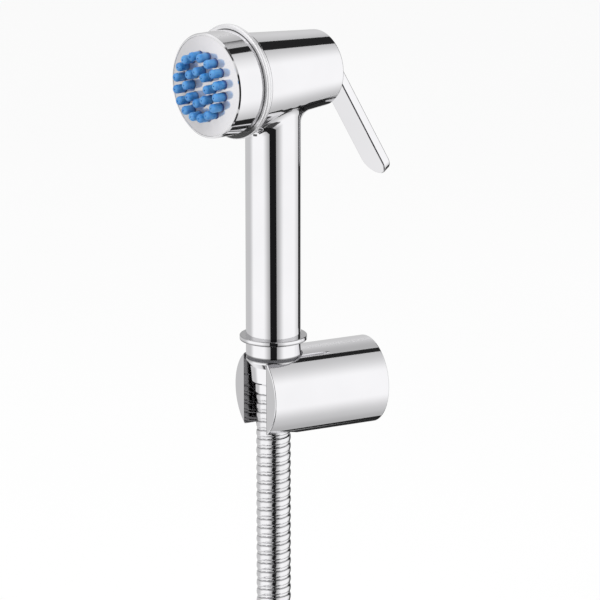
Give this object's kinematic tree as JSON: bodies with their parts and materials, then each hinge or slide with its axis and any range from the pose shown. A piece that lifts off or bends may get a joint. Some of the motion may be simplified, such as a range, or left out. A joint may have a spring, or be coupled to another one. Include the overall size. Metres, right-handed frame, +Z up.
{
  "type": "handheld bidet shower",
  "caption": "Handheld bidet shower with a trigger lever and soft spray nozzles, hanging in its round wall holder on a metal hose.",
  "frame": {"origin": "centre of the holder's round wall face, between its two screw holes", "axes": "+Y into the wall along the holder's axis, -Y out into the room, +Z up; the hose and grip hang on the line x = 0, y = -43.4 mm, and the nozzle points forward, turned 13.6 degrees towards +X"},
  "size_m": [0.179, 0.2679, 0.3401],
  "materials": {
    "chrome": "polished",
    "hose_steel": "polished interlocked strip",
    "steel": "plain",
    "brass": "machined",
    "white_plastic": "matt",
    "blue_silicone": "translucent silicone",
    "black_rubber": "matt",
    "grey_rubber": "matt"
  },
  "bodies": {
    "frame": {"handset_body": "chrome", "nozzle_cap": "chrome", "face_plate": "chrome", "spray_nozzles": "blue_silicone", "flow_disc": "white_plastic", "nozzle_base": "white_plastic", "trim_ring": "chrome", "cap_seal": "black_rubber", "valve_body": "brass", "valve_gland": "brass", "cartridge_seals": "black_rubber", "stem_seal": "black_rubber", "return_spring": "steel", "spring_plug": "brass", "lever_bush": "white_plastic", "lever_pin": "steel", "base_ring": "chrome", "neck_collar": "chrome", "neck_washer": "grey_rubber", "hose_nut": "chrome", "hose_nut_washer": "black_rubber", "hose_tail": "brass", "hose_ferrule": "chrome", "hose": "hose_steel", "hose_coil": "hose_steel", "hose_end": "hose_steel", "end_ferrule": "chrome", "end_collar": "grey_rubber", "end_tail": "brass", "end_washer": "black_rubber", "holder": "chrome", "wall_plate": "white_plastic", "holder_grub_screw": "steel"},
    "lever": {"lever": "chrome"},
    "valve_stem": {"valve_stem": "steel", "valve_washer": "black_rubber"},
    "end_nut": {"end_nut": "chrome"}
  },
  "joints": [
    {"name": "lever_pivot", "type": "hinge", "parent": "frame", "child": "lever", "pos_m": [-0.00435, -0.02542, 0.136], "axis": [-0.972, -0.2351, 0], "range_deg": [0, 11], "stiffness_Nm_per_rad": 0.5, "springref_deg": -11.46},
    {"name": "stem_slide", "type": "slide", "parent": "frame", "child": "valve_stem", "axis": [0.2351, -0.972, 0], "range_m": [0, 0.0015], "deforming": ["return_spring"]},
    {"name": "end_nut_turn", "type": "hinge", "parent": "frame", "child": "end_nut", "pos_m": [-0.02728, -0.08289, -0.1765], "axis": [0, 1, 0], "continuous": true}
  ],
  "couplings": [
    {"joint": "stem_slide", "follows": "lever_pivot", "m_per_rad": 0.0078}
  ]
}
